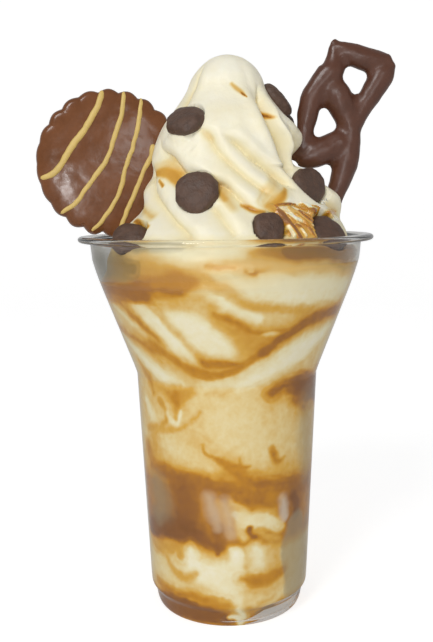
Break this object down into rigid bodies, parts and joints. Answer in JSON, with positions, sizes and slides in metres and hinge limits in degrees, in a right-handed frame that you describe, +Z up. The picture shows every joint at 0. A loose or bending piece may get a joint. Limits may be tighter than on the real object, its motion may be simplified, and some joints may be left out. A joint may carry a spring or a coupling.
{
  "type": "ice cream sundae",
  "caption": "Soft ice cream sundae with caramel ripple in a clear flared cup, topped with a drizzled chocolate biscuit, a chocolate pretzel and chocolate drops.",
  "frame": {"origin": "centre of the cup's flat underside, on the surface it stands on", "axes": "+Z up along the cup's axis; the front faces -Y, with the biscuit at -X and the pretzel at +X"},
  "size_m": [0.1197, 0.098, 0.1913],
  "materials": {
    "clear_plastic": "clear, thin, glossy moulded plastic",
    "ice_cream": "soft, slightly melted, satin cream with caramel ripple",
    "rippled_ice_cream": "cream mixed with caramel, seen wet against the cup",
    "caramel": "glossy translucent caramel sauce",
    "milk_chocolate": "satin milk chocolate coat with lighter drizzled stripes",
    "milk_chocolate_gloss": "smooth satin dark milk chocolate coat",
    "dark_chocolate": "dull, slightly bloomed dark chocolate"
  },
  "bodies": {
    "root": {"cup": "clear_plastic", "caramel_pool": "caramel", "ice_cream_lower": "rippled_ice_cream", "caramel_band": "caramel", "ice_cream": "ice_cream", "biscuit": "milk_chocolate", "pretzel": "milk_chocolate_gloss", "chocolate_drop_1": "dark_chocolate", "chocolate_drop_2": "dark_chocolate", "chocolate_drop_3": "dark_chocolate", "chocolate_drop_4": "dark_chocolate", "chocolate_drop_5": "dark_chocolate", "chocolate_drop_6": "dark_chocolate", "chocolate_drop_7": "dark_chocolate", "chocolate_drop_8": "dark_chocolate", "chocolate_drop_9": "dark_chocolate", "chocolate_drop_10": "dark_chocolate", "chocolate_drop_11": "dark_chocolate"}
  },
  "joints": []
}
